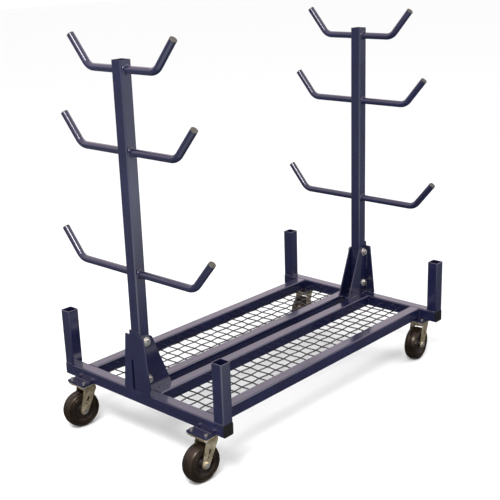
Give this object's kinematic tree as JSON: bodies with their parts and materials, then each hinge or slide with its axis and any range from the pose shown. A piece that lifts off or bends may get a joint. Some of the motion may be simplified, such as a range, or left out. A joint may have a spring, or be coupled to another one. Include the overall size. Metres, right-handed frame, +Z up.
{
  "type": "pipe and conduit rack cart",
  "caption": "Wheeled rack cart with a mesh deck, corner posts and a folding upright at each end carrying bent-up cantilever arms for pipe and conduit.",
  "frame": {"origin": "on the floor, in the middle of the ground the rack covers, wheels included", "axes": "+X along the deck from the front end to the rear end, +Y to the left side, +Z up"},
  "size_m": [1.6047, 0.9144, 1.6119],
  "materials": {
    "paint": "gloss",
    "mesh_paint": "gloss",
    "zinc_bolt": "satin",
    "zinc_caster": "satin",
    "black_plastic": "matte",
    "tan_plastic": "matte",
    "rubber": "matte",
    "hub_iron": "satin"
  },
  "bodies": {
    "deck": {"end_rail_front": "paint", "end_rail_rear": "paint", "side_rail_left": "paint", "center_rail_left": "paint", "side_rail_right": "paint", "center_rail_right": "paint", "corner_post_front_left": "paint", "corner_post_front_right": "paint", "corner_post_rear_left": "paint", "corner_post_rear_right": "paint", "deck_mesh_left": "mesh_paint", "deck_mesh_right": "mesh_paint", "end_rail_plugs": "black_plastic", "bracket_plate_front": "paint", "bracket_cheeks_front": "paint", "bracket_tie_front": "paint", "bracket_plate_rear": "paint", "bracket_cheeks_rear": "paint", "bracket_tie_rear": "paint", "bracket_bolts": "zinc_bolt", "bracket_nuts": "zinc_bolt", "bracket_washers": "zinc_bolt", "caster_pad_front_left": "paint", "caster_pad_front_right": "paint", "caster_pad_rear_left": "paint", "caster_pad_rear_right": "paint", "caster_top_plate_front_left": "zinc_caster", "caster_top_plate_front_right": "zinc_caster", "caster_top_plate_rear_left": "zinc_caster", "caster_top_plate_rear_right": "zinc_caster", "caster_kingpins": "zinc_caster", "caster_ball_rings": "zinc_caster", "caster_bolts": "zinc_bolt", "caster_nuts": "zinc_bolt"},
    "upright_front": {"upright_front": "paint", "arms_front_top": "paint", "arms_front_middle": "paint", "arms_front_bottom": "paint", "arm_plugs_front": "tan_plastic"},
    "upright_rear": {"upright_rear": "paint", "arms_rear_top": "paint", "arms_rear_middle": "paint", "arms_rear_bottom": "paint", "arm_plugs_rear": "tan_plastic"},
    "caster_front_left": {"caster_fork_front_left": "zinc_caster", "caster_axle_front_left": "zinc_bolt"},
    "wheel_front_left": {"wheel_tire_front_left": "rubber", "wheel_hub_front_left": "hub_iron"},
    "caster_front_right": {"caster_fork_front_right": "zinc_caster", "caster_axle_front_right": "zinc_bolt"},
    "wheel_front_right": {"wheel_tire_front_right": "rubber", "wheel_hub_front_right": "hub_iron"},
    "caster_rear_left": {"caster_fork_rear_left": "zinc_caster", "caster_axle_rear_left": "zinc_bolt"},
    "wheel_rear_left": {"wheel_tire_rear_left": "rubber", "wheel_hub_rear_left": "hub_iron"},
    "caster_rear_right": {"caster_fork_rear_right": "zinc_caster", "caster_axle_rear_right": "zinc_bolt"},
    "wheel_rear_right": {"wheel_tire_rear_right": "rubber", "wheel_hub_rear_right": "hub_iron"}
  },
  "joints": [
    {"name": "fold_front", "type": "hinge", "parent": "deck", "child": "upright_front", "pos_m": [-0.68012, 0, 0.3028], "axis": [0, 1, 0], "range_deg": [0, 91.7]},
    {"name": "fold_rear", "type": "hinge", "parent": "deck", "child": "upright_rear", "pos_m": [0.73418, 0, 0.3028], "axis": [0, -1, 0], "range_deg": [0, 84]},
    {"name": "swivel_front_left", "type": "hinge", "parent": "deck", "child": "caster_front_left", "pos_m": [-0.69047, 0.3514, 0.1788], "axis": [0, 0, 1], "continuous": true},
    {"name": "roll_front_left", "type": "hinge", "parent": "caster_front_left", "child": "wheel_front_left", "pos_m": [-0.72494, 0.35748, 0.0762], "axis": [-0.1736, -0.9848, 0], "continuous": true},
    {"name": "swivel_front_right", "type": "hinge", "parent": "deck", "child": "caster_front_right", "pos_m": [-0.69047, -0.3514, 0.1788], "axis": [0, 0, 1], "continuous": true},
    {"name": "roll_front_right", "type": "hinge", "parent": "caster_front_right", "child": "wheel_front_right", "pos_m": [-0.72528, -0.34774, 0.0762], "axis": [-0.1045, -0.9945, 0], "continuous": true},
    {"name": "swivel_rear_left", "type": "hinge", "parent": "deck", "child": "caster_rear_left", "pos_m": [0.74452, 0.3514, 0.1788], "axis": [0, 0, 1], "continuous": true},
    {"name": "roll_rear_left", "type": "hinge", "parent": "caster_rear_left", "child": "wheel_rear_left", "pos_m": [0.71056, 0.34293, 0.0762], "axis": [0.2419, -0.9703, 0], "continuous": true},
    {"name": "swivel_rear_right", "type": "hinge", "parent": "deck", "child": "caster_rear_right", "pos_m": [0.74452, -0.3514, 0.1788], "axis": [0, 0, 1], "continuous": true},
    {"name": "roll_rear_right", "type": "hinge", "parent": "caster_rear_right", "child": "wheel_rear_right", "pos_m": [0.70979, -0.35567, 0.0762], "axis": [0.1219, -0.9925, 0], "continuous": true}
  ]
}
